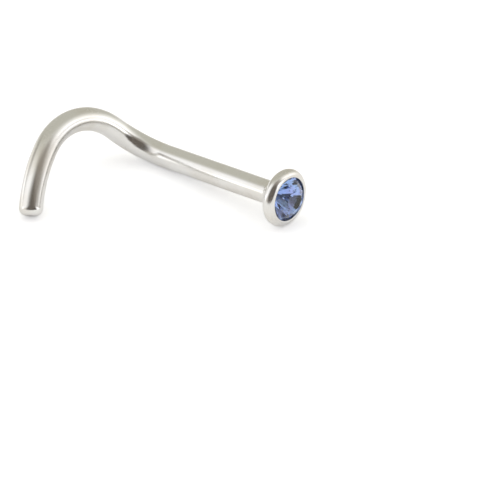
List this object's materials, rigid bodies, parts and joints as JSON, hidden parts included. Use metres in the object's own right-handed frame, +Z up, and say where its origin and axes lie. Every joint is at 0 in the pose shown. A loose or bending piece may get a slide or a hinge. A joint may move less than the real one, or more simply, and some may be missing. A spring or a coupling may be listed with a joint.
{
  "type": "nose stud",
  "caption": "Polished steel nose screw: a straight post with a rounded bezel head holding a blue brilliant-cut stone, bent at its end into a hook with a curved tail and rounded tip.",
  "frame": {"origin": "middle of the part's footprint, on the surface that it rests on", "axes": "+X along the post as seen from above, from the hook towards the head; +Z up from the surface; the hook and tail turn towards -Y"},
  "size_m": [0.0102, 0.0082, 0.003],
  "materials": {
    "steel": "mirror-polished stainless steel",
    "crystal": "faceted pale blue crystal, backed with foil"
  },
  "bodies": {
    "root": {"screw_post": "steel", "stone": "crystal"}
  },
  "joints": []
}
